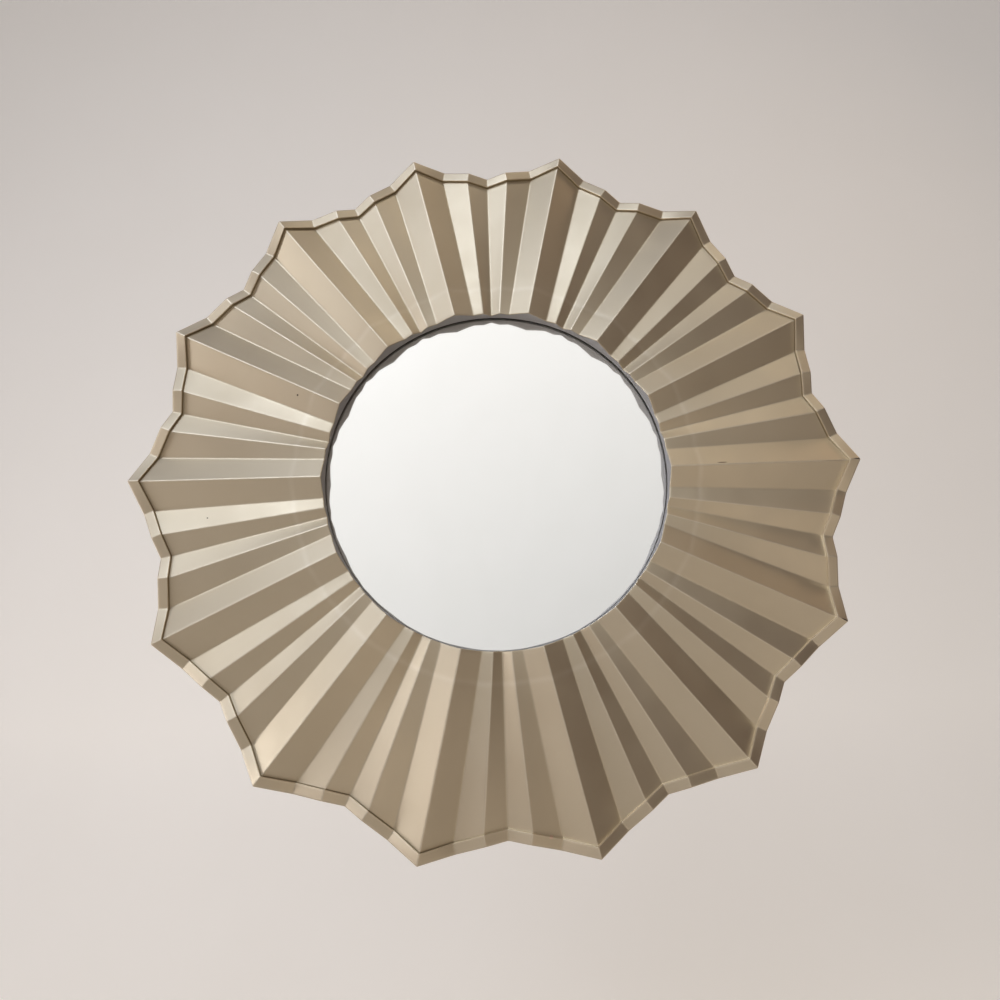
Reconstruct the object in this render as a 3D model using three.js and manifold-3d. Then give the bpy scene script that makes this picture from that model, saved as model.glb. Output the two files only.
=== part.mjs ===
// Round wall mirror: a moulded frame folded into fourteen groups of radial pleats, a flat glass behind
// its opening, and a plain board at the back that carries a keyhole plate.
//
// Millimetres. The wall is the plane y = 0, the mirror hangs in front of it towards -Y, and +Z is up.
// The origin is the middle of the back board, on the wall. A depth is a distance in front of the wall,
// and an angle is measured from the top, clockwise as seen from the front.
import * as THREE from 'three';
import { mergeVertices } from 'three/addons/utils/BufferGeometryUtils.js';
import Module from 'manifold-3d';

const wasm = await Module();
wasm.setup();

// Outline of the rim. Each group of pleats runs crest, side valley, low crest, middle valley and back,
// so it has six folds.
const groupCount = 14;
const foldsPerGroup = 6;
const crestRadius = 305;
const sideValleyRadius = 297;
const lowCrestRadius = 288;
const middleValleyRadius = 286;

// Angles of the two folds between a crest and the middle valley, as shares of half a group.
const sideValleyRimShare = 0.4;
const lowCrestRimShare = 0.74;
const sideValleyThroatShare = 0.51;
const lowCrestThroatShare = 0.78;

// Heights of the pleated face above the glass, where it meets the lip and at the edge of the opening.
const crestRimHeight = 16.5;
const sideValleyRimHeight = 4.4;
const lowCrestRimHeight = 11.7;
const middleValleyRimHeight = 4.9;
const crestThroatHeight = 14.5;
const sideValleyThroatHeight = 7.6;
const lowCrestThroatHeight = 8.9;
const middleValleyThroatHeight = 4.8;

// Walls of the moulding: the pleated skin, the raised lip round the rim, the skirt and the back ribs.
const openingRadius = 147;
const skinThickness = 2.8;
const throatWall = 2.5;
const lipWidth = 8.4;
const lipRise = 3.2;
const lipEdgeBevel = 0.9;
const skirtWall = 3;
const skirtStandOff = 8;
const ribWall = 3;
const ribStandOff = 0.6;

// Glass and back board, with the gap that keeps neighbouring pieces apart.
const glassThickness = 3;
const glassLap = 10;
const boardThickness = 6;
const pieceGap = 0.3;
const boardFitGap = 0.5;

// Screws that hold the board, and the moulded posts that take them.
const boardScrewCount = 7;
const boardScrewLength = 13;
const boardScrewShankRadius = 1.5;
const boardScrewHeadRadius = 3.4;
const screwEdgeDistance = 5.6;
const postBite = 1;
const glassEdgeGap = 1.2;

// Keyhole plate let into the back of the board, and its two small screws.
const plateWidth = 16;
const plateLength = 45;
const plateThickness = 1.5;
const plateCentreHeight = 100;
const plateScrewSpacing = 35;
const plateScrewLength = 5;
const plateScrewShankRadius = 1.1;
const plateScrewHeadRadius = 2.4;
const keyholeRadius = 4.8;
const keyholeSlotWidth = 4.8;
const keyholeSlotRise = 9;
const keyholePocketMargin = 1.4;
const keyholePocketDepth = 3;

// How far a cutting shape runs past the face that it opens.
const cutOverrun = 1;

// Facets that make up round stretches.
const stripsPerFacet = 2;
const discSides = 96;
const postSides = 24;
const screwSides = 16;

// Places that follow from the sizes.
const groupAngle = (2 * Math.PI) / groupCount;
const glassBack = boardThickness + pieceGap;
const glassFront = glassBack + glassThickness;
const throatFoot = glassFront + pieceGap;
const glassRadius = openingRadius + glassLap;
const postRadius = screwEdgeDistance + postBite;
const screwCircleRadius = glassRadius + glassEdgeGap + postRadius;
const ribRadius = screwCircleRadius + screwEdgeDistance;
const boardRadius = ribRadius - boardFitGap;
const faceTop = glassFront + Math.max(crestRimHeight, crestThroatHeight);

function finish(color, roughness, metalness) {
  return new THREE.MeshStandardMaterial({ color, roughness, metalness });
}

const champagneLacquer = finish('#b9a888', 0.36, 0.85);
const silveredGlass = finish('#e6e8e6', 0.03, 1);
const fibreboard = finish('#8a6a48', 0.85, 0);
const zincSteel = finish('#b4b4b0', 0.4, 1);

// Plan positions are pairs of x and z on the wall.
function planPoint(radius, angle) {
  return new THREE.Vector2(radius * Math.sin(angle), radius * Math.cos(angle));
}

// Every fold of the face in clockwise order, each with its corner on the rim and on the opening.
function makeFolds() {
  const radii = [crestRadius, sideValleyRadius, lowCrestRadius, middleValleyRadius];
  const rimShares = [0, sideValleyRimShare, lowCrestRimShare, 1];
  const throatShares = [0, sideValleyThroatShare, lowCrestThroatShare, 1];
  const rimHeights = [crestRimHeight, sideValleyRimHeight, lowCrestRimHeight, middleValleyRimHeight];
  const throatHeights = [
    crestThroatHeight,
    sideValleyThroatHeight,
    lowCrestThroatHeight,
    middleValleyThroatHeight,
  ];
  const folds = [];
  for (let group = 0; group < groupCount; group += 1) {
    const crestAngle = (group + 0.5) * groupAngle;
    for (let step = 0; step < foldsPerGroup; step += 1) {
      const mirrored = step > foldsPerGroup / 2;
      const kind = mirrored ? foldsPerGroup - step : step;
      const turn = (share) => crestAngle + (groupAngle / 2) * (mirrored ? 2 - share : share);
      folds.push({
        corner: planPoint(radii[kind], turn(rimShares[kind])),
        throat: planPoint(openingRadius, turn(throatShares[kind])),
        rimHeight: rimHeights[kind],
        throatHeight: throatHeights[kind],
      });
    }
  }
  return folds;
}

// Corner of the rim moved inwards so that both of its edges shift by the same distance.
function insetCorner(folds, index, distance) {
  const before = folds[(index + folds.length - 1) % folds.length].corner;
  const here = folds[index].corner;
  const after = folds[(index + 1) % folds.length].corner;
  const edgeIn = here.clone().sub(before).normalize();
  const edgeOut = after.clone().sub(here).normalize();
  const inwardIn = new THREE.Vector2(edgeIn.y, -edgeIn.x);
  const inwardOut = new THREE.Vector2(edgeOut.y, -edgeOut.x);
  const middle = inwardIn.clone().add(inwardOut).normalize();
  return here.clone().addScaledVector(middle, distance / middle.dot(inwardIn));
}

const folds = makeFolds();
folds.forEach((fold, index) => {
  fold.inset = (distance) => insetCorner(folds, index, distance);
  fold.foot = fold.inset(lipWidth);
});

// Where a straight fold line crosses a circle round the centre.
function crossing(fold, radius) {
  const run = fold.foot.clone().sub(fold.throat);
  const a = run.lengthSq();
  const b = fold.throat.dot(run);
  const c = fold.throat.lengthSq() - radius * radius;
  const share = (-b + Math.sqrt(b * b - a * c)) / a;
  const height = THREE.MathUtils.lerp(fold.throatHeight, fold.rimHeight, share);
  return { plan: fold.throat.clone().addScaledVector(run, share), depth: glassFront + height, radius };
}

// Section of the moulding along one fold, from the opening over the face and lip and back underneath.
function mouldingSection(fold) {
  const ring = (radius, depth) => ({ ...crossing(fold, radius), depth });
  const under = (radius) => ring(radius, crossing(fold, radius).depth - skinThickness);
  const rim = (distance, depth) => ({ plan: fold.inset(distance), depth });
  const face = glassFront + fold.rimHeight;
  return [
    crossing(fold, openingRadius),
    rim(lipWidth, face),
    rim(lipWidth, face + lipRise),
    rim(lipEdgeBevel, face + lipRise),
    rim(0, face + lipRise - lipEdgeBevel),
    rim(0, skirtStandOff),
    rim(skirtWall, skirtStandOff),
    rim(skirtWall, face - skinThickness),
    under(ribRadius + ribWall),
    ring(ribRadius + ribWall, ribStandOff),
    ring(ribRadius, ribStandOff),
    under(ribRadius),
    under(openingRadius + throatWall),
    ring(openingRadius + throatWall, throatFoot),
    ring(openingRadius, throatFoot),
  ];
}

// Section of the room behind the face, up to the middle of its skin, which shapes the tops of the posts.
function postRoomSection(fold) {
  const outer = crossing(fold, ribRadius + ribWall / 2);
  const inner = crossing(fold, openingRadius + throatWall);
  return [
    { ...inner, depth: inner.depth - skinThickness / 2 },
    { ...outer, depth: outer.depth - skinThickness / 2 },
    { ...outer, depth: boardThickness },
    { ...inner, depth: boardThickness },
  ];
}

// A section carried round all the folds as one closed ring, with each facet cut into equal strips.
function ringSolid(sectionOf) {
  const sections = folds.map(sectionOf);
  const count = sections[0].length;
  const spokes = folds.length * stripsPerFacet;
  const vertices = [];
  const triangles = [];
  for (let spoke = 0; spoke < spokes; spoke += 1) {
    const from = sections[Math.floor(spoke / stripsPerFacet)];
    const to = sections[(Math.floor(spoke / stripsPerFacet) + 1) % folds.length];
    const share = (spoke % stripsPerFacet) / stripsPerFacet;
    const next = (spoke + 1) % spokes;
    for (let place = 0; place < count; place += 1) {
      const plan = from[place].plan.clone().lerp(to[place].plan, share);
      if (from[place].radius) {
        plan.setLength(from[place].radius);
      }
      const depth = THREE.MathUtils.lerp(from[place].depth, to[place].depth, share);
      vertices.push(plan.x, -depth, plan.y);
      const after = (place + 1) % count;
      const here = spoke * count + place;
      const ahead = spoke * count + after;
      const across = next * count + place;
      const acrossAhead = next * count + after;
      triangles.push(here, acrossAhead, ahead, here, across, acrossAhead);
    }
  }
  const vertProperties = new Float32Array(vertices);
  const triVerts = new Uint32Array(triangles);
  return new wasm.Manifold(new wasm.Mesh({ numProp: 3, vertProperties, triVerts }));
}

function toSolid(geometry) {
  const bare = geometry.clone();
  bare.deleteAttribute('normal');
  bare.deleteAttribute('uv');
  const merged = mergeVertices(bare);
  const vertProperties = new Float32Array(merged.attributes.position.array);
  const triVerts = new Uint32Array(merged.index.array);
  return new wasm.Manifold(new wasm.Mesh({ numProp: 3, vertProperties, triVerts }));
}

function toGeometry(solid) {
  const mesh = solid.getMesh();
  const geometry = new THREE.BufferGeometry();
  geometry.setAttribute('position', new THREE.BufferAttribute(mesh.vertProperties, 3));
  geometry.setIndex(new THREE.BufferAttribute(mesh.triVerts, 1));
  geometry.computeVertexNormals();
  return geometry;
}

// Round bar across the wall, between two depths.
function bar(radius, nearDepth, farDepth, sides) {
  const geometry = new THREE.CylinderGeometry(radius, radius, farDepth - nearDepth, sides);
  return geometry.translate(0, -(nearDepth + farDepth) / 2, 0);
}

// Block across the wall, between two depths.
function block(width, height, nearDepth, farDepth) {
  const geometry = new THREE.BoxGeometry(width, farDepth - nearDepth, height);
  return geometry.translate(0, -(nearDepth + farDepth) / 2, 0);
}

// Countersunk screw with its head flush at depth zero and its point in front. With a gap it is the room
// that the screw needs.
function screwShape(length, shankRadius, headRadius, gap) {
  const shank = shankRadius + gap;
  const head = headRadius + gap;
  const tip = length + gap;
  const coneEnd = head - shank;
  const profile = [
    new THREE.Vector2(0, -tip),
    new THREE.Vector2(shank, -(tip - shank)),
    new THREE.Vector2(shank, -coneEnd),
    new THREE.Vector2(head, 0),
    new THREE.Vector2(0, 0),
  ];
  return new THREE.LatheGeometry(profile, screwSides);
}

// Room that a screw needs in the pieces it passes through.
function screwSolid(length, shankRadius, headRadius) {
  return toSolid(screwShape(length, shankRadius, headRadius, pieceGap));
}

// Places of the board's screws: spread round the circle, each behind a crest.
function boardScrewPlaces() {
  const places = [];
  for (let screw = 0; screw < boardScrewCount; screw += 1) {
    const group = Math.round((screw * groupCount) / boardScrewCount);
    places.push(planPoint(screwCircleRadius, (group + 0.5) * groupAngle));
  }
  return places;
}

function makeFrame() {
  const room = ringSolid(postRoomSection);
  let frame = ringSolid(mouldingSection);
  for (const place of boardScrewPlaces()) {
    const post = toSolid(bar(postRadius, glassBack, faceTop, postSides));
    const pilot = screwSolid(boardScrewLength, boardScrewShankRadius, boardScrewShankRadius);
    frame = frame.add(post.translate(place.x, 0, place.y).intersect(room));
    frame = frame.subtract(pilot.translate(place.x, 0, place.y));
  }
  return toGeometry(frame);
}

// Vertical slot with round ends, for the keyhole and for the pocket behind it.
function slotSolid(radius, slotRadius, rise, nearDepth, farDepth) {
  const entry = toSolid(bar(radius, nearDepth, farDepth, postSides));
  const top = toSolid(bar(slotRadius, nearDepth, farDepth, postSides)).translate(0, 0, rise);
  const between = toSolid(block(2 * slotRadius, rise, nearDepth, farDepth)).translate(0, 0, rise / 2);
  return entry.add(top).add(between).translate(0, 0, -rise / 2);
}

function plateScrewPlaces() {
  return [1, -1].map((side) => new THREE.Vector2(0, plateCentreHeight + (side * plateScrewSpacing) / 2));
}

function makeBoard() {
  const screwRoom = screwSolid(boardScrewLength, boardScrewShankRadius, boardScrewHeadRadius);
  const plateScrewRoom = screwSolid(plateScrewLength, plateScrewShankRadius, plateScrewShankRadius);
  const plateDepth = plateThickness + pieceGap;
  const platePocket = toSolid(
    block(plateWidth + 2 * pieceGap, plateLength + 2 * pieceGap, -pieceGap, plateDepth),
  );
  const headRoomRadius = keyholeRadius + keyholePocketMargin;
  const headRoomDepth = plateDepth + keyholePocketDepth;
  const headRoom = slotSolid(headRoomRadius, headRoomRadius, keyholeSlotRise, 0, headRoomDepth);
  let board = toSolid(bar(boardRadius, 0, boardThickness, discSides));
  for (const place of boardScrewPlaces()) {
    board = board.subtract(screwRoom.translate(place.x, 0, place.y));
  }
  for (const place of plateScrewPlaces()) {
    board = board.subtract(plateScrewRoom.translate(place.x, 0, place.y));
  }
  board = board.subtract(platePocket.translate(0, 0, plateCentreHeight));
  board = board.subtract(headRoom.translate(0, 0, plateCentreHeight));
  return toGeometry(board);
}

// The plate is modelled round its own middle, with its back face flush with the board.
function makePlate() {
  const screwRoom = screwSolid(plateScrewLength, plateScrewShankRadius, plateScrewHeadRadius);
  const cutEnd = plateThickness + cutOverrun;
  const keyhole = slotSolid(keyholeRadius, keyholeSlotWidth / 2, keyholeSlotRise, -cutOverrun, cutEnd);
  let plate = toSolid(block(plateWidth, plateLength, 0, plateThickness)).subtract(keyhole);
  for (const side of [1, -1]) {
    plate = plate.subtract(screwRoom.translate(0, 0, (side * plateScrewSpacing) / 2));
  }
  return toGeometry(plate);
}

const mirror = new THREE.Group();

function addPiece(name, geometry, material, place = new THREE.Vector2()) {
  const mesh = new THREE.Mesh(geometry, material);
  mesh.name = name;
  mesh.position.set(place.x, 0, place.y);
  mirror.add(mesh);
}

addPiece('pleated_frame', makeFrame(), champagneLacquer);
addPiece('mirror_glass', bar(glassRadius, glassBack, glassFront, discSides), silveredGlass);
addPiece('back_board', makeBoard(), fibreboard);
addPiece('keyhole_plate', makePlate(), zincSteel, new THREE.Vector2(0, plateCentreHeight));
boardScrewPlaces().forEach((place, index) => {
  const screw = screwShape(boardScrewLength, boardScrewShankRadius, boardScrewHeadRadius, 0);
  addPiece(`board_screw_${index + 1}`, screw, zincSteel, place);
});
plateScrewPlaces().forEach((place, index) => {
  const screw = screwShape(plateScrewLength, plateScrewShankRadius, plateScrewHeadRadius, 0);
  addPiece(`plate_screw_${index + 1}`, screw, zincSteel, place);
});

export default mirror;
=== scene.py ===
# %% [markdown]
# # A round wall mirror in a pleated frame
# The object is a flat silvered glass behind the round opening of a moulded frame. The frame is one
# thin shell that folds in and out as it goes round, so its face is a fan of long flat facets, and it
# ends in a raised lip that follows the folds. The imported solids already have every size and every
# fold, so this notebook adds what they leave out: soft edges, lacquer, silvering, fibreboard, screws
# and light. Everything is in metres, the wall is the plane y = 0 and the glass faces -Y.

# %% Load the solids
import bmesh
import bpy
import numpy as np
from mathutils import Matrix


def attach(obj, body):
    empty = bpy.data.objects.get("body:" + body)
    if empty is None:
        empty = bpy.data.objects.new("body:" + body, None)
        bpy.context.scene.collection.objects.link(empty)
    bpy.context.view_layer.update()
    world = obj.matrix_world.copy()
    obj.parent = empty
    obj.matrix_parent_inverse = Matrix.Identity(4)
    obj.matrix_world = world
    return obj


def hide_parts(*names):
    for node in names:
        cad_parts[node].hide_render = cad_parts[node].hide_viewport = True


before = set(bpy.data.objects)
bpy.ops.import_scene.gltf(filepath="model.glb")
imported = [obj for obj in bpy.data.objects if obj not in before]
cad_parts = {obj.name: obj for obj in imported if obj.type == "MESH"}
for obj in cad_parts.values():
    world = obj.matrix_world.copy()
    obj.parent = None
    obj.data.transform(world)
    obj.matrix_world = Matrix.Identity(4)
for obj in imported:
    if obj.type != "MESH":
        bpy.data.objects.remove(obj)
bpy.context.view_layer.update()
print("solids:", sorted(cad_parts))

# %% [markdown]
# ## Small helpers
# Sizes are easier to read in millimetres, as on a drawing, and Blender wants metres, so one value
# turns one into the other. Colours are picked as sRGB hex values, as a paint chart gives them, and
# the renderer wants linear light, so one function does that turn for all of them.

# %% Units and colours
MM = 0.001


def linear(hex_colour):
    """sRGB hex to linear light: v / 12.92 up to 0.04045, and ((v + 0.055) / 1.055) to the 2.4 above."""
    values = np.array([int(hex_colour[i:i + 2], 16) for i in (1, 3, 5)]) / 255
    return (*np.where(values <= 0.04045, values / 12.92, ((values + 0.055) / 1.055) ** 2.4), 1.0)


print("mid grey in linear light:", np.round(linear("#808080"), 3))

# %% [markdown]
# A surface here is always a grid of points: one direction runs along a profile and the other round
# the object. Faces are the cells of that grid, so they come from whole arrays of row and column
# numbers. A grid that closes on itself in both directions is a ring without any open seam.

# %% Grids into meshes


def grid_faces(rows, columns, close_rows):
    """Cell (r, c) joins r, c to r + 1, c + 1. Columns always wrap round, and rows wrap if closed."""
    r, c = np.meshgrid(np.arange(rows if close_rows else rows - 1), np.arange(columns), indexing="ij")
    ahead, across = (r + 1) % rows, (c + 1) % columns
    corners = [r * columns + c, r * columns + across, ahead * columns + across, ahead * columns + c]
    return np.stack(corners, -1).reshape(-1, 4)


def mesh_object(name, points, faces, smooth=True):
    """Points in millimetres and four-cornered faces become one object that sits at the origin."""
    mesh = bpy.data.meshes.new(name)
    mesh.vertices.add(len(points))
    mesh.vertices.foreach_set("co", (np.asarray(points, float) * MM).astype(np.float32).ravel())
    mesh.loops.add(faces.size)
    mesh.loops.foreach_set("vertex_index", faces.astype(np.int32).ravel())
    mesh.polygons.add(len(faces))
    mesh.polygons.foreach_set("loop_start", np.arange(0, faces.size, 4, dtype=np.int32))
    mesh.update(calc_edges=True)
    mesh.validate()
    mesh.polygons.foreach_set("use_smooth", np.full(len(mesh.polygons), smooth))
    piece = bpy.data.objects.new(name, mesh)
    bpy.context.scene.collection.objects.link(piece)
    return piece


print("a closed ring of 3 by 4 points has", len(grid_faces(3, 4, True)), "faces")

# %% [markdown]
# ## The folds of the frame
# The rim is a star with fourteen tips. Between two tips the shell folds six times: down from the
# crest to a side valley, up to a low crest, down to the middle valley, and back the same way. Each
# fold is a straight line from a point on the rim to a point on the opening. These are the sizes of
# the solid, repeated here, so that the fine surface lies where the solid lies. Only the lip rises
# 2.6 mm instead of the solid's 3.2, because its step looked too wide beside the photograph.

# %% Fold lines
GROUPS = 14
KIND = np.tile([0, 1, 2, 3, 2, 1], GROUPS)
MIRRORED = np.tile([False, False, False, False, True, True], GROUPS)
RIM_RADIUS = np.array([305, 297, 288, 286])[KIND]
RIM_HEIGHT = np.array([16.5, 4.4, 11.7, 4.9])[KIND]
THROAT_HEIGHT = np.array([14.5, 7.6, 8.9, 4.8])[KIND]
RIM_SHARE = np.array([0, 0.4, 0.74, 1])[KIND]
THROAT_SHARE = np.array([0, 0.51, 0.78, 1])[KIND]
OPENING = 147
GLASS_BACK, GLASS_FRONT, THROAT_FOOT = 6.3, 9.3, 9.6
SKIN, THROAT_WALL, SKIRT_WALL, SKIRT_STAND_OFF = 2.8, 2.5, 3.0, 8.0
LIP_WIDTH, LIP_RISE, LIP_BEVEL = 8.4, 2.6, 0.9
RIB_RADIUS, RIB_WALL, RIB_STAND_OFF = 170.4, 3.0, 0.6


def fold_plan(radius, share):
    """x, z = radius sin a, radius cos a, with a = group + half a group times the share, clockwise."""
    half = np.pi / GROUPS
    crest = (np.repeat(np.arange(GROUPS), 6) + 0.5) * 2 * half
    angle = crest + half * np.where(MIRRORED, 2 - share, share)
    return np.stack([radius * np.sin(angle), radius * np.cos(angle)], -1)


corner = fold_plan(RIM_RADIUS, RIM_SHARE)
throat = fold_plan(OPENING, THROAT_SHARE)
print("folds:", len(corner), "facets at the rim (mm):",
      np.round(np.linalg.norm(np.roll(corner, -1, 0) - corner, axis=1)[:3], 1))

# %% [markdown]
# The lip, its bevel and the skirt are the outline of the star moved inwards by a few millimetres.
# A corner of the outline moves along the line that halves its angle, so that both edges beside it
# shift by the same distance.

# %% Outline moved inwards and rings round the centre


def unit(vectors):
    """Each vector divided by its length."""
    return vectors / np.linalg.norm(vectors, axis=-1, keepdims=True)


def inset(distance):
    """corner + m distance / (m . n), with n the inward normal of one edge and m the middle of both."""
    edge_in = unit(corner - np.roll(corner, 1, 0))
    edge_out = unit(np.roll(corner, -1, 0) - corner)
    inward_in = edge_in[:, ::-1] * [1, -1]
    inward_out = edge_out[:, ::-1] * [1, -1]
    middle = unit(inward_in + inward_out)
    return corner + middle * distance / np.sum(middle * inward_in, -1, keepdims=True)


foot = inset(LIP_WIDTH)


def along_fold(share):
    """Point of each fold line at a share of the way from the opening to the foot of the lip."""
    share = np.broadcast_to(share, len(KIND))[:, None]
    depth = GLASS_FRONT + THROAT_HEIGHT + (RIM_HEIGHT - THROAT_HEIGHT) * share[:, 0]
    return np.column_stack([throat + (foot - throat) * share, depth])


def share_at(radius):
    """Share at which a fold line crosses a circle: the positive root of |throat + run s| = radius."""
    run = foot - throat
    a, b = np.sum(run * run, -1), np.sum(throat * run, -1)
    return (-b + np.sqrt(b * b - a * (np.sum(throat * throat, -1) - radius ** 2))) / a


print("foot of the lip lies", np.round(np.linalg.norm(foot, axis=1)[:4], 1), "mm from the middle")

# %% [markdown]
# ## Soft folds
# A moulded fold is never sharp: the tool leaves a radius of about half a millimetre, and that thin
# round strip is what catches the light as a bright line. The profile round the object is a chain of
# straight stretches, so each corner of the chain is replaced by a short parabola. It meets both
# stretches without a kink, and it works on whole vectors, so it rounds the plan and the height at
# once.

# %% Columns round the object
FOLD_SOFTNESS = np.array([0.75, 0.9, 0.7, 0.9])[KIND]
LOCAL = np.array([-1, -0.6, -0.2, 0.2, 0.6, 1])
SUPPORT = 0.5
INNER_COLUMNS = 3
PER_FOLD = len(LOCAL) + 2 + INNER_COLUMNS


def round_folds(chain):
    """Near a corner P + (d0 + d1) s / 2 + (d1 - d0)(s s + w w) / 4w, and straight lines between."""
    step = np.roll(chain, -1, 0) - chain
    ahead = step / np.linalg.norm(step[:, :2], axis=1, keepdims=True)
    behind = np.roll(ahead, 1, 0)
    w = FOLD_SOFTNESS[:, None, None]
    s = LOCAL[None, :, None] * w
    bent = (chain[:, None] + (behind + ahead)[:, None] * s / 2
            + (ahead - behind)[:, None] * (s * s + w * w) / (4 * w))
    leave = chain + ahead * (FOLD_SOFTNESS + SUPPORT)[:, None]
    arrive = chain - behind * (FOLD_SOFTNESS + SUPPORT)[:, None]
    share = (np.arange(INNER_COLUMNS) + 1)[None, :, None] / (INNER_COLUMNS + 1)
    between = leave[:, None] + (np.roll(arrive, -1, 0) - leave)[:, None] * share
    columns = np.concatenate([arrive[:, None], bent, leave[:, None], between], 1)
    return columns.reshape(-1, 3)


COLUMNS = len(KIND) * PER_FOLD
print("columns round the frame:", COLUMNS)

# %% [markdown]
# ## The section of the moulding
# One section runs from the opening over the face, up the lip, down the skirt, back underneath past
# the ring rib and up the wall of the opening. It is first written as a few stations, each with the
# radius that the tool leaves on that edge. A station inside the opening or on the rib is a true
# circle, so its points are pushed out to the exact radius. The posts that take the board's screws
# are on the solid but left out here, because they stand behind the board, where nothing shows them.

# %% Stations of the section


def ring(radius, depth=None):
    """Circle of one radius on the face, or at a fixed depth."""
    points = along_fold(share_at(radius))
    if depth is not None:
        points[:, 2] = depth
    points = round_folds(points)
    points[:, :2] = unit(points[:, :2]) * radius
    return points


def under(radius):
    """The same circle one skin thickness below the face."""
    return ring(radius) - [0, 0, SKIN]


def rim(distance, height):
    """Outline moved inwards, at the height of the face plus a step, or at one depth for the skirt."""
    depth = GLASS_FRONT + RIM_HEIGHT + height if np.ndim(height) == 0 else height[0]
    return round_folds(np.column_stack([inset(distance), np.broadcast_to(depth, len(KIND))]))


stations = [
    (ring(OPENING), 0.7),
    (rim(LIP_WIDTH, 0.0), 0.15),
    (rim(LIP_WIDTH, LIP_RISE), 0.3),
    (rim(LIP_BEVEL, LIP_RISE), 0.4),
    (rim(0, LIP_RISE - LIP_BEVEL), 0.4),
    (rim(0, [SKIRT_STAND_OFF]), 0.6),
    (rim(SKIRT_WALL, [SKIRT_STAND_OFF]), 0.6),
    (rim(SKIRT_WALL, -SKIN), 0.5),
    (under(RIB_RADIUS + RIB_WALL), 0.9),
    (ring(RIB_RADIUS + RIB_WALL, RIB_STAND_OFF), 0.6),
    (ring(RIB_RADIUS, RIB_STAND_OFF), 0.6),
    (under(RIB_RADIUS), 0.9),
    (under(OPENING + THROAT_WALL), 0.6),
    (ring(OPENING + THROAT_WALL, THROAT_FOOT), 0.4),
    (ring(OPENING, THROAT_FOOT), 0.4),
]
print("stations:", len(stations))

# %% [markdown]
# Between two stations the surface is straight along the section. The face needs many rows, because
# it also carries the sink line and the slight unevenness of a real moulding. Every edge is turned
# into a curve that starts and ends at the tool's radius away from the corner, with five points on
# the front and three behind.

# %% Rows along the section
FRONT_STEPS, BACK_STEPS = np.linspace(0, 1, 5)[:, None, None], np.linspace(0, 1, 3)[:, None, None]
SINK_RADIUS = RIB_RADIUS + RIB_WALL / 2
FACE_RINGS = [150, 154, 159, 164, 167.5, 169.3, 170.6, SINK_RADIUS, 173.2, 174.5, 176.3, 180, 186, 194]
LAST_RING_SHARE = share_at(FACE_RINGS[-1])
LAST_ROW_SHARE = 0.996
OUTER_STEPS = [*np.linspace(0, 0.97, 12)[1:], 1]
FACE_SHARES = [LAST_RING_SHARE + (LAST_ROW_SHARE - LAST_RING_SHARE) * step for step in OUTER_STEPS]
STRAIGHT_ROWS = {1: 1, 2: 4, 4: 2, 7: 8, 8: 1, 10: 1, 11: 2, 12: 1, 14: 2}


def edge_curve(before, here, after, reach, t):
    """Quadratic curve (1 - t)(1 - t) A + 2 t (1 - t) P + t t B round the station P."""
    start = here + unit(before - here) * reach
    end = here + unit(after - here) * reach
    return (1 - t) ** 2 * start + 2 * t * (1 - t) * here + t ** 2 * end


rows, row_kind = [], []
for place, (here, reach) in enumerate(stations):
    before, after = stations[place - 1][0], stations[(place + 1) % len(stations)][0]
    curve = edge_curve(before, here, after, reach, BACK_STEPS if 6 <= place <= 13 else FRONT_STEPS)
    rows.append(curve)
    row_kind += [place] * len(curve)
    if place == 0:
        face = [ring(radius) for radius in FACE_RINGS]
        face += [round_folds(along_fold(share)) for share in FACE_SHARES]
        rows.append(np.array(face))
        row_kind += [-1] * len(face)
    elif place in STRAIGHT_ROWS:
        next_reach = stations[(place + 1) % len(stations)][1]
        start = curve[-1]
        end = after + unit(here - after) * next_reach
        shares = (np.arange(STRAIGHT_ROWS[place]) + 1)[:, None, None] / (STRAIGHT_ROWS[place] + 1)
        rows.append(start + (end - start) * shares)
        row_kind += [100 + place] * STRAIGHT_ROWS[place]
surface = np.concatenate(rows)
row_kind = np.array(row_kind)
print("rows:", surface.shape[0], "points:", surface.shape[0] * surface.shape[1])

# %% [markdown]
# ## What the tool and the lacquer leave behind
# Plastic shrinks most where it is thickest, so a face dips along a rib behind it. The photograph
# shows a faint ring on the face, which such a rib would explain. The rib is a guess, and the dip is
# set to a little under a tenth of a millimetre. Large flat facets also bow slightly
# between their folds and wander a little along their length. These errors are far too small to
# measure by eye, but a glossy facet shows them at once in what it reflects.

# %% Sink line, bow and unevenness
SINK_DEPTH, SINK_WIDTH = 0.09, 2.3
BOW = 0.045
WANDER = 0.05
random = np.random.default_rng(14)
wave_turn = random.uniform(0, 2 * np.pi, 6)
wave_start = random.uniform(0, 2 * np.pi, 6)
wave_length = random.uniform(50, 120, 6)


def unevenness(x, z):
    """Sum of six slow sine waves that run in different directions over the plan."""
    along = x[..., None] * np.cos(wave_turn) + z[..., None] * np.sin(wave_turn)
    return np.sin(along * 2 * np.pi / wave_length + wave_start).sum(-1) / 6 ** 0.5


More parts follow.
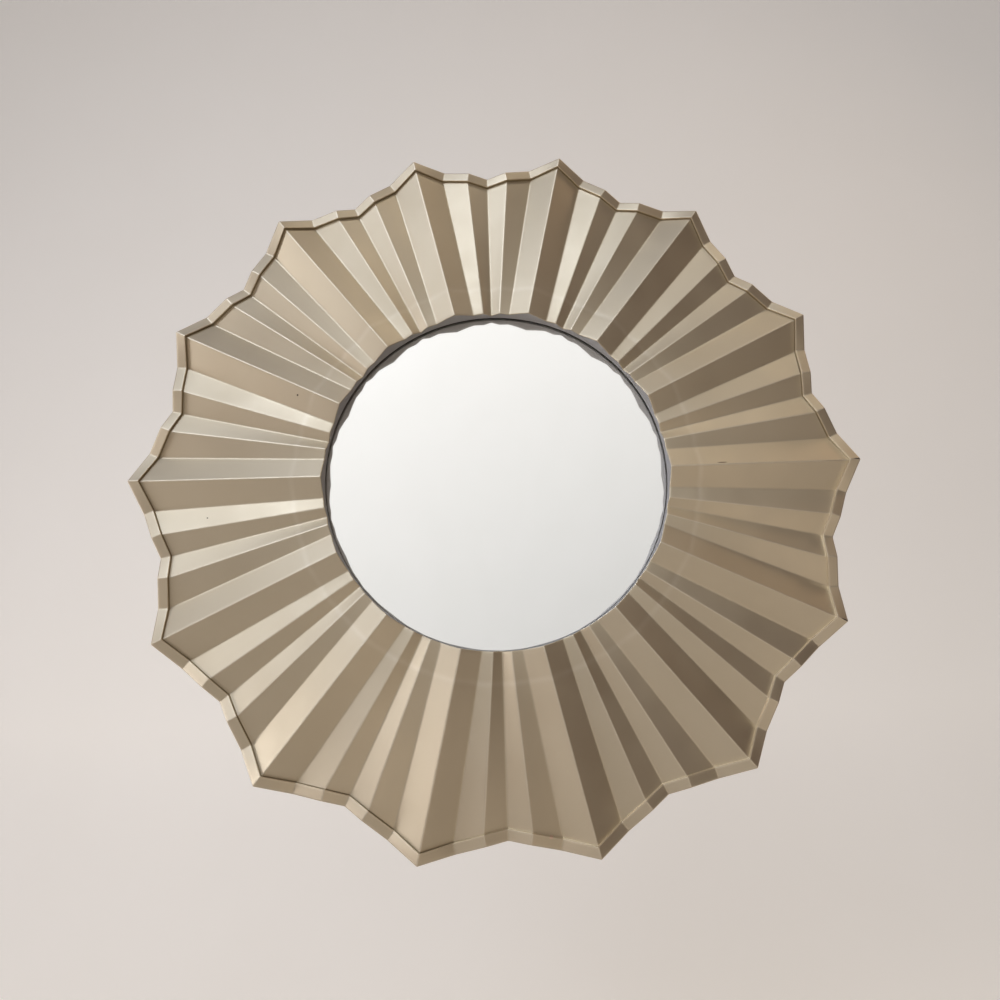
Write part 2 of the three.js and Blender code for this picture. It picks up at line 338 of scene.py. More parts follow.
column_share = np.zeros(PER_FOLD)
column_share[len(LOCAL) + 2:] = (np.arange(INNER_COLUMNS) + 1) / (INNER_COLUMNS + 1)
column_share = np.tile(column_share, len(KIND))
bow_shape = 4 * column_share * (1 - column_share)
radius = np.linalg.norm(surface[..., :2], axis=-1)
on_face = (row_kind == -1)[:, None]
sink = SINK_DEPTH * np.exp(-((radius - SINK_RADIUS) / SINK_WIDTH) ** 2)
fade = np.clip((radius - OPENING) / 6, 0, 1)
moved = -sink - fade * BOW * bow_shape + fade * WANDER * unevenness(surface[..., 0], surface[..., 1])
surface[..., 2] += np.where(on_face, moved, 0)
print("face moved by", np.round(moved.min(), 3), "to", np.round(moved.max(), 3), "mm")

# %% [markdown]
# The grid becomes one closed mesh. A depth is a distance in front of the wall, so y is minus the
# depth. One value is kept on the points for the lacquer to read: how close a point is to the crest
# of a fold or to an edge of the lip. There the lacquer is made paler, for a sprayed coat that runs
# thin, and that paleness also paints in the bright highlight line that light draws along a crest or
# an edge. The sharp inner corner at the foot of the lip gets -1, a dark line of painted shade in the
# crease. On the lower right the foot gets a pale value instead, a painted highlight on the side
# where the light falls. Paint, dust and wear would do that, and so would light alone, so this is a
# guess that was made for the likeness.

# %% Frame mesh
points = np.stack([surface[..., 0], -surface[..., 2], surface[..., 1]], -1).reshape(-1, 3)
pleated_frame = mesh_object("pleated_shell", points, grid_faces(len(surface), COLUMNS, True))
# Crests: paler lacquer for a thin coat, which also paints in the highlight line along each crest.
crest_columns = np.zeros((len(KIND), PER_FOLD))
crest_columns[:, 1:1 + len(LOCAL)] = (1 - LOCAL ** 2) * (KIND % 2 == 0)[:, None]
pale_crests_and_painted_light = np.broadcast_to(crest_columns.reshape(-1), surface.shape[:2])
painted_rows = (row_kind <= 4) | ((row_kind > 100) & (row_kind < 105))
pale_crests_and_painted_light = np.where(painted_rows[:, None], pale_crests_and_painted_light, 0)
# Lip edges: paler lacquer for a thin coat, which also paints in a highlight along each edge.
lip_edge = np.where(row_kind == 2, 0.6, np.where((row_kind == 3) | (row_kind == 4), 0.3, 0))
pale_crests_and_painted_light = np.maximum(pale_crests_and_painted_light, lip_edge[:, None])
# Lip foot: painted shade in the crease, and a painted highlight on the lower right, the lit side.
lip_foot = (row_kind == 1) | (row_kind == 101)
PALE_SIDE = np.radians(137)
DARK_FOOT, PALE_FOOT = -1, 0.9
lower_right = unit(surface[..., :2]) @ np.array([np.sin(PALE_SIDE), np.cos(PALE_SIDE)])
foot_shade_and_highlight = DARK_FOOT + (PALE_FOOT - DARK_FOOT) * np.clip((lower_right - 0.6) / 0.2, 0, 1)
pale_crests_and_painted_light = np.where(lip_foot[:, None], foot_shade_and_highlight, pale_crests_and_painted_light)
pleated_frame.data.attributes.new("crest", "FLOAT", "POINT").data.foreach_set(
    "value", pale_crests_and_painted_light.astype(np.float32).ravel())
print("triangles:", 2 * len(pleated_frame.data.polygons))
measure = bmesh.new()
measure.from_mesh(pleated_frame.data)
volume = measure.calc_volume(signed=True) / MM ** 3 / 1000
print("moulding:", round(volume), "cm3, positive when faces point out")
measure.free()

# %% [markdown]
# ## The glass
# A wall mirror is silvered on its back, so light first passes three millimetres of clear glass. That
# is why a thin dark gap shows between the frame and its own reflection. The disc is a profile turned
# round the middle: front, a small ground bevel, the edge, another bevel and the back. The front and
# the edge are clear, and the back carries the silver.

# %% Glass disc
GLASS_RADIUS, GLASS_BEVEL, TURNED_STEPS = 157, 0.6, 192


def turned(profile, steps=TURNED_STEPS, centre=(0, 0)):
    """Radius and depth along the profile, carried round the axis through the centre: x = r sin a."""
    profile = np.asarray(profile, float)
    angle = np.arange(steps) / steps * 2 * np.pi
    r, depth = profile[:, :1], profile[:, 1:]
    x = centre[0] + r * np.sin(angle)
    z = centre[1] + r * np.cos(angle)
    turned_points = np.stack([x, np.broadcast_to(-depth, x.shape), z], -1).reshape(-1, 3)
    return turned_points, grid_faces(len(profile), steps, False)


glass_profile = [
    (0, GLASS_FRONT), (60, GLASS_FRONT), (120, GLASS_FRONT), (GLASS_RADIUS - GLASS_BEVEL, GLASS_FRONT),
    (GLASS_RADIUS, GLASS_FRONT - GLASS_BEVEL), (GLASS_RADIUS, GLASS_BACK + GLASS_BEVEL),
    (GLASS_RADIUS - GLASS_BEVEL, GLASS_BACK), (120, GLASS_BACK), (60, GLASS_BACK), (0, GLASS_BACK),
]


def close_poles(piece, distance=1e-6):
    """The rows of points that meet at a pole are merged into one point, and normals face outwards."""
    editable = bmesh.new()
    editable.from_mesh(piece.data)
    bmesh.ops.remove_doubles(editable, verts=editable.verts, dist=distance)
    bmesh.ops.recalc_face_normals(editable, faces=editable.faces)
    editable.to_mesh(piece.data)
    editable.free()


glass_points, glass_faces = turned(glass_profile)
mirror_glass = mesh_object("silvered_disc", glass_points, glass_faces, smooth=False)
close_poles(mirror_glass)
print("glass faces:", len(mirror_glass.data.polygons))

# %% [markdown]
# ## Screws
# Seven countersunk screws hold the board and two small ones hold the hanging plate. Their heads lie
# flush with the back, so only the head and its cross recess show. The whole screw is one turned
# profile: tip, shank, cone, rim and the top of the head, and the recess is pressed into the points
# of the top.

# %% Screws with a cross recess
HEAD_RINGS = np.linspace(1, 0, 15)
SCREW_STEPS = 64
HEAD_EDGE = 0.12


def recess_depth(u, v, head_radius):
    """Deepest of two crossed slots, each a slope along its arm times a soft wall across its arm."""
    reach, half_width, depth = 0.62 * head_radius, 0.15 * head_radius, 0.42 * head_radius

    def slot_depth(along, across):
        slope = np.clip((reach - np.abs(along)) / (0.55 * reach), 0, 1)
        wall = np.clip((half_width - np.abs(across)) / (0.07 * head_radius) + 0.5, 0, 1)
        return depth * slope * wall

    return np.maximum(slot_depth(u, v), slot_depth(v, u))


def screw(name, length, shank_radius, head_radius, centre, turn):
    """Turned screw whose head is flush with depth zero, with the recess turned by its own angle."""
    cone_end = head_radius - shank_radius
    body = [(0, length), (shank_radius / 2, length - 0.6 * shank_radius),
            (shank_radius, length - shank_radius), (shank_radius, cone_end + 0.3),
            (shank_radius + 0.15, cone_end - 0.1), (head_radius, HEAD_EDGE), (head_radius - HEAD_EDGE, 0)]
    top = np.column_stack([HEAD_RINGS[1:] * (head_radius - HEAD_EDGE), np.zeros(len(HEAD_RINGS) - 1)])
    screw_points, faces = turned(np.vstack([body, top]), SCREW_STEPS, centre)
    u0, v0 = screw_points[:, 0] - centre[0], screw_points[:, 2] - centre[1]
    u, v = u0 * np.cos(turn) + v0 * np.sin(turn), v0 * np.cos(turn) - u0 * np.sin(turn)
    is_top = np.arange(len(screw_points)) >= len(body) * SCREW_STEPS
    screw_points[:, 1] -= np.where(is_top, recess_depth(u, v, head_radius), 0)
    piece = mesh_object(name, screw_points, faces)
    close_poles(piece)
    return piece


BOARD_SCREW_CIRCLE = 164.8
screws = {}
for number in range(7):
    angle = (2 * number + 0.5) * 2 * np.pi / GROUPS
    middle = (BOARD_SCREW_CIRCLE * np.sin(angle), BOARD_SCREW_CIRCLE * np.cos(angle))
    screws[f"board_screw_{number + 1}"] = screw(
        f"board_screw_head_{number + 1}", 13, 1.5, 3.4, middle, random.uniform(0, np.pi))
for number, height in enumerate([117.5, 82.5]):
    screws[f"plate_screw_{number + 1}"] = screw(
        f"plate_screw_head_{number + 1}", 5, 1.1, 2.4, (0, height), random.uniform(0, np.pi))
print("screws:", len(screws), "faces each:", len(screws["board_screw_1"].data.polygons))

# %% [markdown]
# ## Materials
# Every finish is a small tree of nodes. One function adds a node, sets its choices and fills its
# sockets, either with a value or with the output of another node. A value that is the same all over
# a surface is set on the shader itself, and only what really changes over it is linked.

# %% One function for every node


def add(tree, kind, sockets=None, **choices):
    """Adds a node. A socket that is given another node's output is linked, and others get a value."""
    made = tree.nodes.new(kind)
    for name, value in choices.items():
        setattr(made, name, value)
    for name, value in (sockets or {}).items():
        if isinstance(value, bpy.types.NodeSocket):
            tree.links.new(value, made.inputs[name])
        else:
            made.inputs[name].default_value = value
    return made


def new_material(name):
    """Empty material with one Principled shader wired to its output."""
    material = bpy.data.materials.new(name)
    material.use_nodes = True
    tree = material.node_tree
    tree.nodes.clear()
    shader = add(tree, "ShaderNodeBsdfPrincipled")
    add(tree, "ShaderNodeOutputMaterial", {"Surface": shader.outputs["BSDF"]})
    return material, tree, shader


def per_mm(size):
    """A noise has about one feature per unit of its scale, and a unit is a metre: 1 / size."""
    return 1 / (size * MM)


MIX_A, MIX_B, MIX_COLOUR = 6, 7, 2
print("a 2 mm pattern has scale", per_mm(2))

# %% [markdown]
# ### Champagne lacquer
# The frame is moulded plastic sprayed with a metallic lacquer: aluminium flakes in a warm tinted
# coat under a very thin clear one. The flakes lie roughly flat and scatter over a wide angle, so a
# facet is a broad even patch of satin light rather than a mirror, and a small part of what comes
# back is the plain colour of the binder. The tint wanders a little with the thickness of the coat,
# and the surface has the fine ripple of sprayed paint. The crests and the edges of the lip are made
# paler, for a coat that runs thin there, and that paleness also paints in the bright highlight line
# that light draws along them. The foot of the lip gets painted shade, a dark brown line in the
# crease, and on the lower right a painted highlight instead.

# %% Champagne lacquer
lacquer, tree, shader = new_material("champagne_metallic_lacquer")
place = add(tree, "ShaderNodeTexCoord").outputs["Object"]
cloud = add(tree, "ShaderNodeTexNoise", {"Vector": place, "Scale": per_mm(70), "Detail": 3.0})
tint = add(tree, "ShaderNodeMix", {0: cloud.outputs["Fac"], MIX_A: linear("#d2c5a9"),
                                   MIX_B: linear("#dcd0b6")}, data_type="RGBA")
# crest value: pale for a thin coat and a painted highlight, -1 for painted shade at the lip foot
crest = add(tree, "ShaderNodeAttribute", attribute_name="crest").outputs["Fac"]
patchy = add(tree, "ShaderNodeTexNoise", {"Vector": place, "Scale": per_mm(14), "Detail": 2.0})
patches = add(tree, "ShaderNodeMapRange", {"Value": patchy.outputs["Fac"], "From Min": 0.3,
                                           "From Max": 0.7, "To Min": 0.45, "To Max": 0.85})
# Paler lacquer on crests and lip edges: a thin coat, with a painted highlight line along them.
thin = add(tree, "ShaderNodeMath", {0: crest, 1: patches.outputs["Result"]}, operation="MULTIPLY")
pale_crests_and_highlight = add(tree, "ShaderNodeMix", {0: thin.outputs[0], MIX_A: tint.outputs[MIX_COLOUR],
                                   MIX_B: linear("#ebe0c9")}, data_type="RGBA")
# Painted shade: the crease at the foot of the lip is mixed towards dark brown.
foot_shade_amount = add(tree, "ShaderNodeMath", {0: crest, 1: -0.6}, operation="MULTIPLY")
with_painted_foot_shade = add(tree, "ShaderNodeMix", {0: foot_shade_amount.outputs[0], MIX_A: pale_crests_and_highlight.outputs[MIX_COLOUR],
                                    MIX_B: linear("#6b5a41")}, data_type="RGBA")
grain = add(tree, "ShaderNodeTexNoise", {"Vector": place, "Scale": per_mm(25), "Detail": 4.0})
gloss = add(tree, "ShaderNodeMapRange", {"Value": grain.outputs["Fac"], "From Min": 0.3,
                                         "From Max": 0.7, "To Min": 0.45, "To Max": 0.51})
ripple = add(tree, "ShaderNodeTexNoise", {"Vector": place, "Scale": per_mm(2.5), "Detail": 1.0})
bump = add(tree, "ShaderNodeBump", {"Height": ripple.outputs["Fac"], "Strength": 1.0,
                                    "Distance": 0.006 * MM})
for name, value in {"Roughness": gloss.outputs["Result"], "Normal": bump.outputs["Normal"]}.items():
    tree.links.new(value, shader.inputs[name])
shader.inputs["Metallic"].default_value = 0.86
shader.inputs["Coat Weight"].default_value = 0.08
shader.inputs["Coat Roughness"].default_value = 0.3
print("lacquer nodes:", len(tree.nodes))

# %% [markdown]
# A faint pale band runs round the face over the place where a rib behind it would be. The sink line
# alone is too shallow to show on so broad a gloss, so the lacquer is made a shade paler there: a
# painted sheen for the light that the shallow dip would catch. It is a ring, so it needs the distance
# from the axis alone: the place with its depth set to nought has that length. Noise breaks the ring
# up, because it is plain on some facets only.

# %% Pale ring over the rib
flat = add(tree, "ShaderNodeVectorMath", {0: place, 1: (1, 0, 1)}, operation="MULTIPLY")
from_axis = add(tree, "ShaderNodeVectorMath", {0: flat.outputs["Vector"]}, operation="LENGTH")
off_rib = add(tree, "ShaderNodeMath", {0: from_axis.outputs["Value"], 1: SINK_RADIUS * MM},
              operation="SUBTRACT")
aside = add(tree, "ShaderNodeMath", {0: off_rib.outputs[0]}, operation="ABSOLUTE")
band = add(tree, "ShaderNodeMapRange", {"Value": aside.outputs[0], "From Min": 0.3 * MM,
                                        "From Max": 3.2 * MM, "To Min": 0.26, "To Max": 0.0})
broken = add(tree, "ShaderNodeMath", {0: band.outputs["Result"], 1: patches.outputs["Result"]},
             operation="MULTIPLY")
# Painted sheen over the rib: the lacquer is mixed a shade paler along the sink line.
with_painted_rib_sheen = add(tree, "ShaderNodeMix", {0: broken.outputs[0], MIX_A: with_painted_foot_shade.outputs[MIX_COLOUR],
                                     MIX_B: linear("#f3ebd9")}, data_type="RGBA")
print("ring at", SINK_RADIUS, "mm")

# %% [markdown]
# The lacquer isn't perfect. There is one dark scratch beside the opening on the right, two dark
# specks on the left, a pale lump at the foot of the lip below, and a thin dark line across the lip
# at two tips on the right. Each mark is an ellipse: the place, less the mark's middle, turned and
# divided by its half length and half width, has a length of 1 on the mark's edge.

# %% Marks on the lacquer
marked = with_painted_rib_sheen.outputs[MIX_COLOUR]
for x, z, degrees, half_length, half_width, shade in (
        (190.4, 1.75, 0, 4.3, 0.45, "#4b3826"), (-169.5, 73.7, 0, 0.85, 0.8, "#352c24"),
        (-241.8, -31.1, 30, 0.8, 0.6, "#453a2e"), (32.3, -283.8, 0, 1.6, 1.0, "#ecd2bd"),
        (302.4, 0.5, 0, 3.6, 0.5, "#1c1611"), (272.5, -131.2, 25.7, 3.6, 0.5, "#1f1812")):
    local = add(tree, "ShaderNodeMapping", {
        "Vector": place, "Location": (x * MM, 0, z * MM), "Rotation": (0, np.radians(degrees), 0),
        "Scale": (half_length * MM, 0.5, half_width * MM)}, vector_type="TEXTURE")
    reach = add(tree, "ShaderNodeVectorMath", {0: local.outputs["Vector"]}, operation="LENGTH")
    cover = add(tree, "ShaderNodeMapRange", {"Value": reach.outputs["Value"], "From Min": 0.7,
                                             "From Max": 1.15, "To Min": 0.9, "To Max": 0.0})
    marked = add(tree, "ShaderNodeMix", {0: cover.outputs["Result"], MIX_A: marked,
                                         MIX_B: linear(shade)}, data_type="RGBA").outputs[MIX_COLOUR]
tree.links.new(marked, shader.inputs["Base Color"])
print("lacquer nodes with the marks:", len(tree.nodes))

# %% [markdown]
# ### Bare moulding
# The back of such a frame isn't painted. It shows the grey brown plastic as it left the tool, dull
# and slightly mottled, with a little lacquer dust that drifted over the edge of the skirt. The wall
# round the opening is made a pale neutral grey, the thin grey band beside the glass.

# %% Bare moulding
moulding, tree, shader = new_material("bare_moulded_polystyrene")
place = add(tree, "ShaderNodeTexCoord").outputs["Object"]
mottle = add(tree, "ShaderNodeTexNoise", {"Vector": place, "Scale": per_mm(30), "Detail": 5.0})
colour = add(tree, "ShaderNodeMix", {0: mottle.outputs["Fac"], MIX_A: linear("#4c4740"),
                                     MIX_B: linear("#625b51")}, data_type="RGBA")
span = add(tree, "ShaderNodeVectorMath", {0: place}, operation="LENGTH")
near_rim = add(tree, "ShaderNodeMapRange", {"Value": span.outputs["Value"], "From Min": 0.262,
                                            "From Max": 0.305, "To Min": 0.0, "To Max": 0.8})
speckle = add(tree, "ShaderNodeTexNoise", {"Vector": place, "Scale": per_mm(1.6), "Detail": 2.0})
dusty = add(tree, "ShaderNodeMath", {0: near_rim.outputs["Result"], 1: speckle.outputs["Fac"]},
            operation="MULTIPLY")
sprayed = add(tree, "ShaderNodeMix", {0: dusty.outputs[0], MIX_A: colour.outputs[MIX_COLOUR],
                                      MIX_B: linear("#b7a78b")}, data_type="RGBA")
# The wall round the opening is mixed to a pale neutral grey.
near_glass = add(tree, "ShaderNodeMapRange", {"Value": span.outputs["Value"], "From Min": 0.1486,
                                              "From Max": 0.1492, "To Min": 1.0, "To Max": 0.0})
with_grey_opening_wall = add(tree, "ShaderNodeMix", {0: near_glass.outputs["Result"], MIX_A: sprayed.outputs[MIX_COLOUR],
                                     MIX_B: linear("#bfbebb")}, data_type="RGBA")
eroded = add(tree, "ShaderNodeTexNoise", {"Vector": place, "Scale": per_mm(0.9), "Detail": 2.0})
bump = add(tree, "ShaderNodeBump", {"Height": eroded.outputs["Fac"], "Strength": 0.6,
                                    "Distance": 0.02 * MM})
tree.links.new(with_grey_opening_wall.outputs[MIX_COLOUR], shader.inputs["Base Color"])
tree.links.new(bump.outputs["Normal"], shader.inputs["Normal"])
shader.inputs["Roughness"].default_value = 0.52
print("moulding nodes:", len(tree.nodes))

# %% [markdown]
# ### Clear glass and silvering
# Three millimetres of float glass take hardly any colour out of the light, so the glass is clear
# with a faint smear, and fresh silver behind it gives nearly everything back. The two are separate
# finishes on one closed disc.

# %% Clear glass and silvering
glass, tree, shader = new_material("clear_float_glass")
place = add(tree, "ShaderNodeTexCoord").outputs["Object"]
smear = add(tree, "ShaderNodeTexNoise", {"Vector": place, "Scale": per_mm(60), "Detail": 6.0,
                                         "Roughness": 0.7})
dusty = add(tree, "ShaderNodeMix", {0: smear.outputs["Fac"], MIX_A: linear("#ffffff"),
                                    MIX_B: linear("#fafbf9")}, data_type="RGBA")
tree.links.new(dusty.outputs[MIX_COLOUR], shader.inputs["Base Color"])
shader.inputs["Roughness"].default_value = 0.0
shader.inputs["Transmission Weight"].default_value = 1.0
shader.inputs["IOR"].default_value = 1.52

silver, tree, shader = new_material("silver_mirror_coat")
place = add(tree, "ShaderNodeTexCoord").outputs["Object"]
tarnish = add(tree, "ShaderNodeTexNoise", {"Vector": place, "Scale": per_mm(40), "Detail": 4.0})
tone = add(tree, "ShaderNodeMix", {0: tarnish.outputs["Fac"], MIX_A: linear("#f8f7f4"),
                                   MIX_B: linear("#fbfaf7")}, data_type="RGBA")
tree.links.new(tone.outputs[MIX_COLOUR], shader.inputs["Base Color"])
shader.inputs["Metallic"].default_value = 1.0
shader.inputs["Roughness"].default_value = 0.01
print("glass finishes:", glass.name, silver.name)

# %% [markdown]
# ### Fibreboard
# The back is medium density fibreboard, 6 mm thick. Its face is pressed from fine wood fibres, so it
# is an even brown with short pale and dark hairs that lie in every direction. Real fibres are a few
# tenths of a millimetre thick, so they are drawn a little coarser to show. Stretched noise in two
# directions gives the hairs.

# %% Fibreboard
board, tree, shader = new_material("medium_density_fibreboard")
place = add(tree, "ShaderNodeTexCoord").outputs["Object"]
blotch = add(tree, "ShaderNodeTexNoise", {"Vector": place, "Scale": per_mm(45), "Detail": 4.0})
colour = add(tree, "ShaderNodeMix", {0: blotch.outputs["Fac"], MIX_A: linear("#8a6947"),
                                     MIX_B: linear("#a3825c")}, data_type="RGBA")
for turn, stretch, shade in ((0.5, (1, 1, 6), "#6b4c30"), (2.1, (6, 1, 1), "#c4a57e")):
    turned_place = add(tree, "ShaderNodeMapping", {"Vector": place, "Rotation": (0, turn, 0),
                                                   "Scale": stretch})
    fibre = add(tree, "ShaderNodeTexNoise", {"Vector": turned_place.outputs["Vector"],
                                             "Scale": per_mm(6), "Detail": 5.0, "Roughness": 0.7})
    hair = add(tree, "ShaderNodeMapRange", {"Value": fibre.outputs["Fac"], "From Min": 0.56,
                                            "From Max": 0.72, "To Min": 0.0, "To Max": 0.55})
    colour = add(tree, "ShaderNodeMix", {0: hair.outputs["Result"], MIX_A: colour.outputs[MIX_COLOUR],
                                         MIX_B: linear(shade)}, data_type="RGBA")
bump = add(tree, "ShaderNodeBump", {"Height": fibre.outputs["Fac"], "Strength": 0.5,
                                    "Distance": 0.05 * MM})
tree.links.new(colour.outputs[MIX_COLOUR], shader.inputs["Base Color"])
tree.links.new(bump.outputs["Normal"], shader.inputs["Normal"])
shader.inputs["Roughness"].default_value = 0.78
print("fibreboard nodes:", len(tree.nodes))

# %% [markdown]
# ### Zinc plated steel
# The hanging plate and the screws are stamped and cold headed steel with a bright zinc coat. Zinc
# plating is a pale bluish grey metal, satin rather than polished, with fine rolling lines and a
# cloudy change of gloss.

# %% Zinc plated steel
zinc, tree, shader = new_material("bright_zinc_plated_steel")
place = add(tree, "ShaderNodeTexCoord").outputs["Object"]
cloud = add(tree, "ShaderNodeTexNoise", {"Vector": place, "Scale": per_mm(5), "Detail": 4.0})
colour = add(tree, "ShaderNodeMix", {0: cloud.outputs["Fac"], MIX_A: linear("#b3b6b9"),
                                     MIX_B: linear("#d3d5d4")}, data_type="RGBA")
gloss = add(tree, "ShaderNodeMapRange", {"Value": cloud.outputs["Fac"], "From Min": 0.3,
                                         "From Max": 0.7, "To Min": 0.28, "To Max": 0.46})
rolled = add(tree, "ShaderNodeMapping", {"Vector": place, "Scale": (1, 1, 0.04)})
lines = add(tree, "ShaderNodeTexNoise", {"Vector": rolled.outputs["Vector"], "Scale": per_mm(0.35),
                                         "Detail": 2.0})
bump = add(tree, "ShaderNodeBump", {"Height": lines.outputs["Fac"], "Strength": 0.5,
                                    "Distance": 0.006 * MM})
for name, value in {"Base Color": colour.outputs[MIX_COLOUR], "Roughness": gloss.outputs["Result"],
                    "Normal": bump.outputs["Normal"]}.items():
    tree.links.new(value, shader.inputs[name])
shader.inputs["Metallic"].default_value = 1.0
print("zinc nodes:", len(tree.nodes))

# %% [markdown]
# ## Finishes on the pieces
# The frame has two finishes: lacquer over the face, the lip and the outside of the skirt, and bare
# moulding behind and on the wall of the opening. The glass disc is clear on its front and edge and
# silvered on its back. The board and the hanging plate keep their solids and only get a finish.

# %% Assign finishes


def finish_faces(piece, materials, index_of_face):
    """Gives the piece its materials and each face the number of its own."""
    for material in materials:
        piece.data.materials.append(material)
    piece.data.polygons.foreach_set("material_index", np.asarray(index_of_face, np.int32))


face_rows = np.repeat(row_kind, COLUMNS)
bare = (face_rows >= 6) & ~((face_rows > 100) & (face_rows < 106))
finish_faces(pleated_frame, [lacquer, moulding], bare)
face_centres = np.zeros(3 * len(mirror_glass.data.polygons))
mirror_glass.data.polygons.foreach_get("center", face_centres)
silvered = face_centres.reshape(-1, 3)[:, 1] > -(GLASS_BACK + 0.01) * MM
finish_faces(mirror_glass, [glass, silver], silvered)
for piece in screws.values():
    piece.data.materials.append(zinc)
for node, material in (("back_board", board), ("keyhole_plate", zinc)):
    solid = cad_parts[node]
    solid.data.materials.clear()
    solid.data.materials.append(material)
print("bare faces:", int(bare.sum()), "silvered faces:", int(silvered.sum()))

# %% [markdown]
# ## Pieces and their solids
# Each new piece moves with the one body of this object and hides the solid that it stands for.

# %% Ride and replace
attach(pleated_frame, "root")
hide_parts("pleated_frame")
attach(mirror_glass, "root")
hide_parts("mirror_glass")
for node, piece in screws.items():
    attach(piece, "root")
    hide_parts(node)
print("new pieces:", 2 + len(screws))

# %% [markdown]
# ## Studio
# The mirror hangs in a plain pale studio. The floor runs up into a backdrop in one soft curve far
# behind it, so that its back can be looked at too. Towards the back the paper glows a little, as
# paper lit from behind does, which keeps it pale without more light on the frame.

# %% Floor and backdrop
FLOOR_Z, BACKDROP_Y, SWEEP = -1.05, 1.7, 0.6
bend = np.linspace(0, np.pi / 2, 25)
sweep_profile = np.vstack([
    [(-4.5, FLOOR_Z), (-1.5, FLOOR_Z)],
    np.column_stack([BACKDROP_Y - SWEEP + SWEEP * np.sin(bend), FLOOR_Z + SWEEP - SWEEP * np.cos(bend)]),
    [(BACKDROP_Y, 3.2)],
])
across = np.linspace(-4, 4, 9)
sweep_points = np.stack([
    np.broadcast_to(across, (len(sweep_profile), 9)),
    np.broadcast_to(sweep_profile[:, :1], (len(sweep_profile), 9)),
    np.broadcast_to(sweep_profile[:, 1:], (len(sweep_profile), 9)),
], -1).reshape(-1, 3) / MM
r, c = np.meshgrid(np.arange(len(sweep_profile) - 1), np.arange(8), indexing="ij")
sweep_faces = np.stack([r * 9 + c, r * 9 + c + 1, (r + 1) * 9 + c + 1, (r + 1) * 9 + c], -1).reshape(-1, 4)
backdrop = mesh_object("studio_sweep", sweep_points, sweep_faces)
paper, tree, shader = new_material("pale_studio_paper")
place = add(tree, "ShaderNodeTexCoord").outputs["Object"]
fibre = add(tree, "ShaderNodeTexNoise", {"Vector": place, "Scale": per_mm(400), "Detail": 3.0})
colour = add(tree, "ShaderNodeMix", {0: fibre.outputs["Fac"], MIX_A: linear("#dcd6cd"),
                                     MIX_B: linear("#e2ddd5")}, data_type="RGBA")
tree.links.new(colour.outputs[MIX_COLOUR], shader.inputs["Base Color"])
parts = add(tree, "ShaderNodeSeparateXYZ", {"Vector": place})
lit = add(tree, "ShaderNodeMapRange", {"Value": parts.outputs["Y"], "From Min": 0.0, "From Max": 1.1,
                                       "To Min": 0.0, "To Max": 0.36})
tree.links.new(lit.outputs["Result"], shader.inputs["Emission Strength"])
shader.inputs["Emission Color"].default_value = linear("#f4f1ec")
shader.inputs["Roughness"].default_value = 0.9
backdrop.data.materials.append(paper)
print("backdrop faces:", len(backdrop.data.polygons))

# %% [markdown]
# A mirror shows whatever stands before it, so a large white sheet hangs in front of the glass, lit
# more on its upper left than on its lower right. The level is a straight slope over the sheet.

# %% White sheet in front
SHEET_Y = -2.6
sheet_corners = np.array([(-1.0, SHEET_Y, -0.35), (1.0, SHEET_Y, -0.35), (1.0, SHEET_Y, 1.65),
                          (-1.0, SHEET_Y, 1.65)]) / MM
white_sheet = mesh_object("white_sheet", sheet_corners, np.array([[3, 2, 1, 0]]), smooth=False)
glow, tree, shader = new_material("lit_white_sheet")
place = add(tree, "ShaderNodeTexCoord").outputs["Object"]
parts = add(tree, "ShaderNodeSeparateXYZ", {"Vector": place})
slant = add(tree, "ShaderNodeMath", {0: parts.outputs["X"], 1: -0.55, 2: parts.outputs["Z"]},
            operation="MULTIPLY_ADD")
level = add(tree, "ShaderNodeMapRange", {"Value": slant.outputs[0], "From Min": -0.7, "From Max": 1.8,
                                         "To Min": 0.68, "To Max": 1.1})
tree.links.new(level.outputs["Result"], shader.inputs["Emission Strength"])
shader.inputs["Emission Color"].default_value = linear("#fbfafa")
shader.inputs["Base Color"].default_value = linear("#202020")
white_sheet.data.materials.append(glow)
white_sheet.visible_camera = False
print("white sheet from", SHEET_Y, "m")

# %% [markdown]
# The main light is a tall cool window at the upper left with a second pane beside it. Facets that
# tilt away from it would all go equally dark, so a few smaller boxes far to the left, low in front
# and at the right give each side its own steps of light and dark. The rest is a warm dim room,
# which gives the shaded facets their brown. To the camera and to the glass it is a pale wall.

# %% Lights


def soft_box(name, azimuth, elevation, distance, size, radiance, hex_colour):
    """Rectangle that faces the mirror. Its power is radiance times pi times its area, in watts."""
    a, e = np.radians(azimuth), np.radians(elevation)
    away = np.array([np.sin(a) * np.cos(e), -np.cos(a) * np.cos(e), np.sin(e)])
    light = bpy.data.lights.new(name, "AREA")
    light.shape = "RECTANGLE"
    light.size, light.size_y = size
    light.color = linear(hex_colour)[:3]
    light.energy = radiance * np.pi * size[0] * size[1]
    box = bpy.data.objects.new(name, light)
    right = np.array([np.cos(a), np.sin(a), 0.0])
    rise = np.cross(away, right)
    turn = np.eye(4)
    turn[:3, 0], turn[:3, 1], turn[:3, 2], turn[:3, 3] = right, rise, away, away * distance
    box.matrix_world = Matrix(turn.tolist())
    box.visible_camera = False
    bpy.context.scene.collection.objects.link(box)
    return box


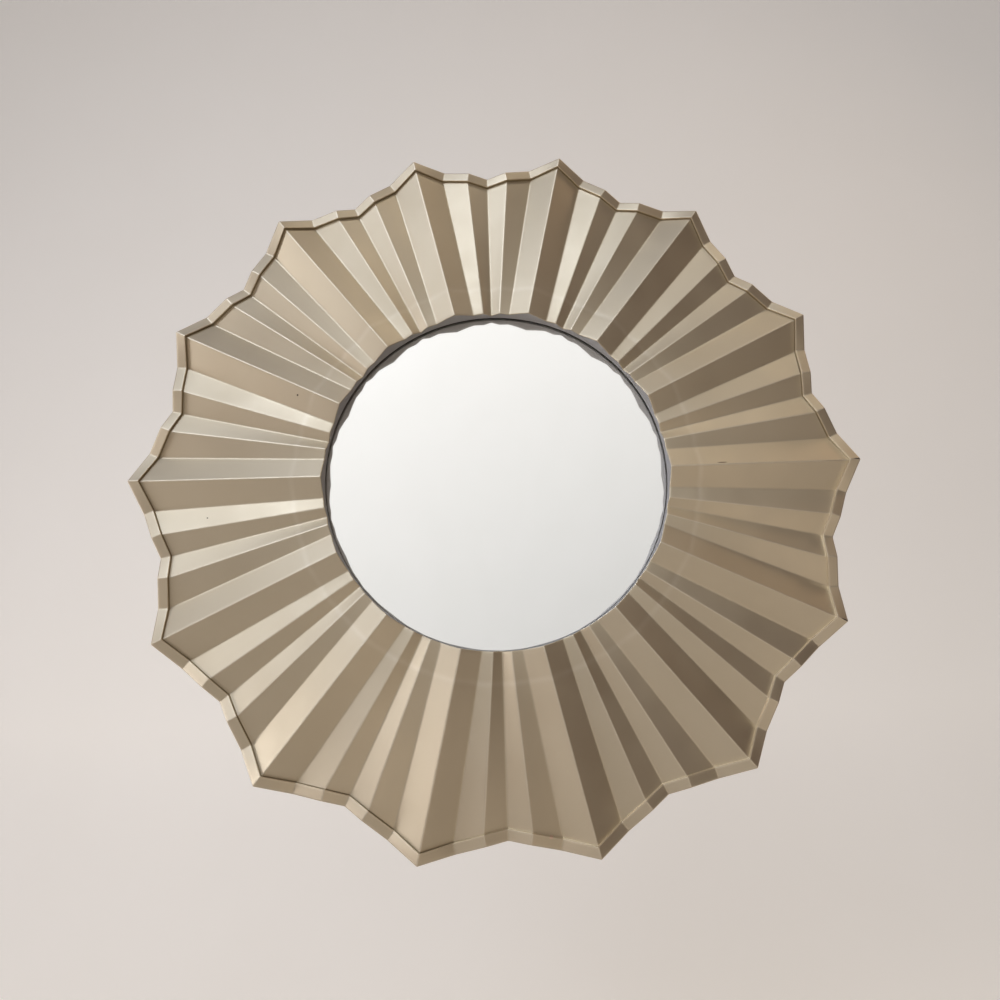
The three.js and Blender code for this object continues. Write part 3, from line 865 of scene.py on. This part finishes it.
for light in (
        ("window", -23, 37, 3.0, (0.8, 1.3), 7.0, "#dfeaff"),
        ("window_side", -48, 28, 3.0, (0.8, 1.0), 3.8, "#e6eeff"),
        ("left", -66, 4, 3.0, (0.7, 0.7), 9.0, "#f6f4fa"),
        ("far_left", -82, -11, 2.4, (0.64, 0.6), 5.5, "#faf8ff"),
        ("low_left", -46, -13, 2.4, (0.48, 0.48), 1.2, "#ffddc0"),
        ("upper_right", 32, 57, 3.0, (0.6, 0.6), 4.6, "#fff3e2"),
        ("low_right", 26, -30, 1.4, (0.34, 0.24), 2.4, "#ffecd8"),
        ("far_right", 84, 43, 3.0, (0.8, 0.8), 3.0, "#ffe2c4")):
    soft_box(*light)
world = bpy.data.worlds.new("warm_room")
bpy.context.scene.world = world
world.use_nodes = True
tree = world.node_tree
tree.nodes.clear()
path = add(tree, "ShaderNodeLightPath")
seen = add(tree, "ShaderNodeMath", {0: path.outputs["Is Camera Ray"], 1: path.outputs["Is Singular Ray"]},
           operation="MAXIMUM")
room = add(tree, "ShaderNodeBackground", {"Color": linear("#ffb684"), "Strength": 0.06})
wall = add(tree, "ShaderNodeBackground", {"Color": linear("#e9e6e0"), "Strength": 0.8})
both = add(tree, "ShaderNodeMixShader", {0: seen.outputs[0], 1: room.outputs[0], 2: wall.outputs[0]})
add(tree, "ShaderNodeOutputWorld", {"Surface": both.outputs[0]})

# %% [markdown]
# ## Camera
# The photograph was taken from close by, a little below the middle and turned up by 11 degrees,
# which makes the lower tips look larger. Its place and lens were worked out from the outline.

# %% Camera
CAMERA_PLACE = np.array([-3.66, -508.99, -123.00]) * MM
CAMERA_RIGHT = np.array([0.99945, -0.0052, -0.03277])
CAMERA_DOWN = np.array([-0.03108, 0.1987, -0.97957])
CAMERA_AHEAD = np.array([0.01161, 0.98005, 0.19843])
lens = bpy.data.cameras.new("camera")
lens.sensor_width = 36
lens.lens = 21.49
lens.clip_start = 0.01
camera = bpy.data.objects.new("camera", lens)
pose = np.eye(4)
pose[:3, 0], pose[:3, 1], pose[:3, 2], pose[:3, 3] = CAMERA_RIGHT, -CAMERA_DOWN, -CAMERA_AHEAD, CAMERA_PLACE
camera.matrix_world = Matrix(pose.tolist())
bpy.context.scene.collection.objects.link(camera)
bpy.context.scene.camera = camera
bpy.context.scene.view_settings.view_transform = "Standard"
print("camera at", np.round(CAMERA_PLACE, 3))
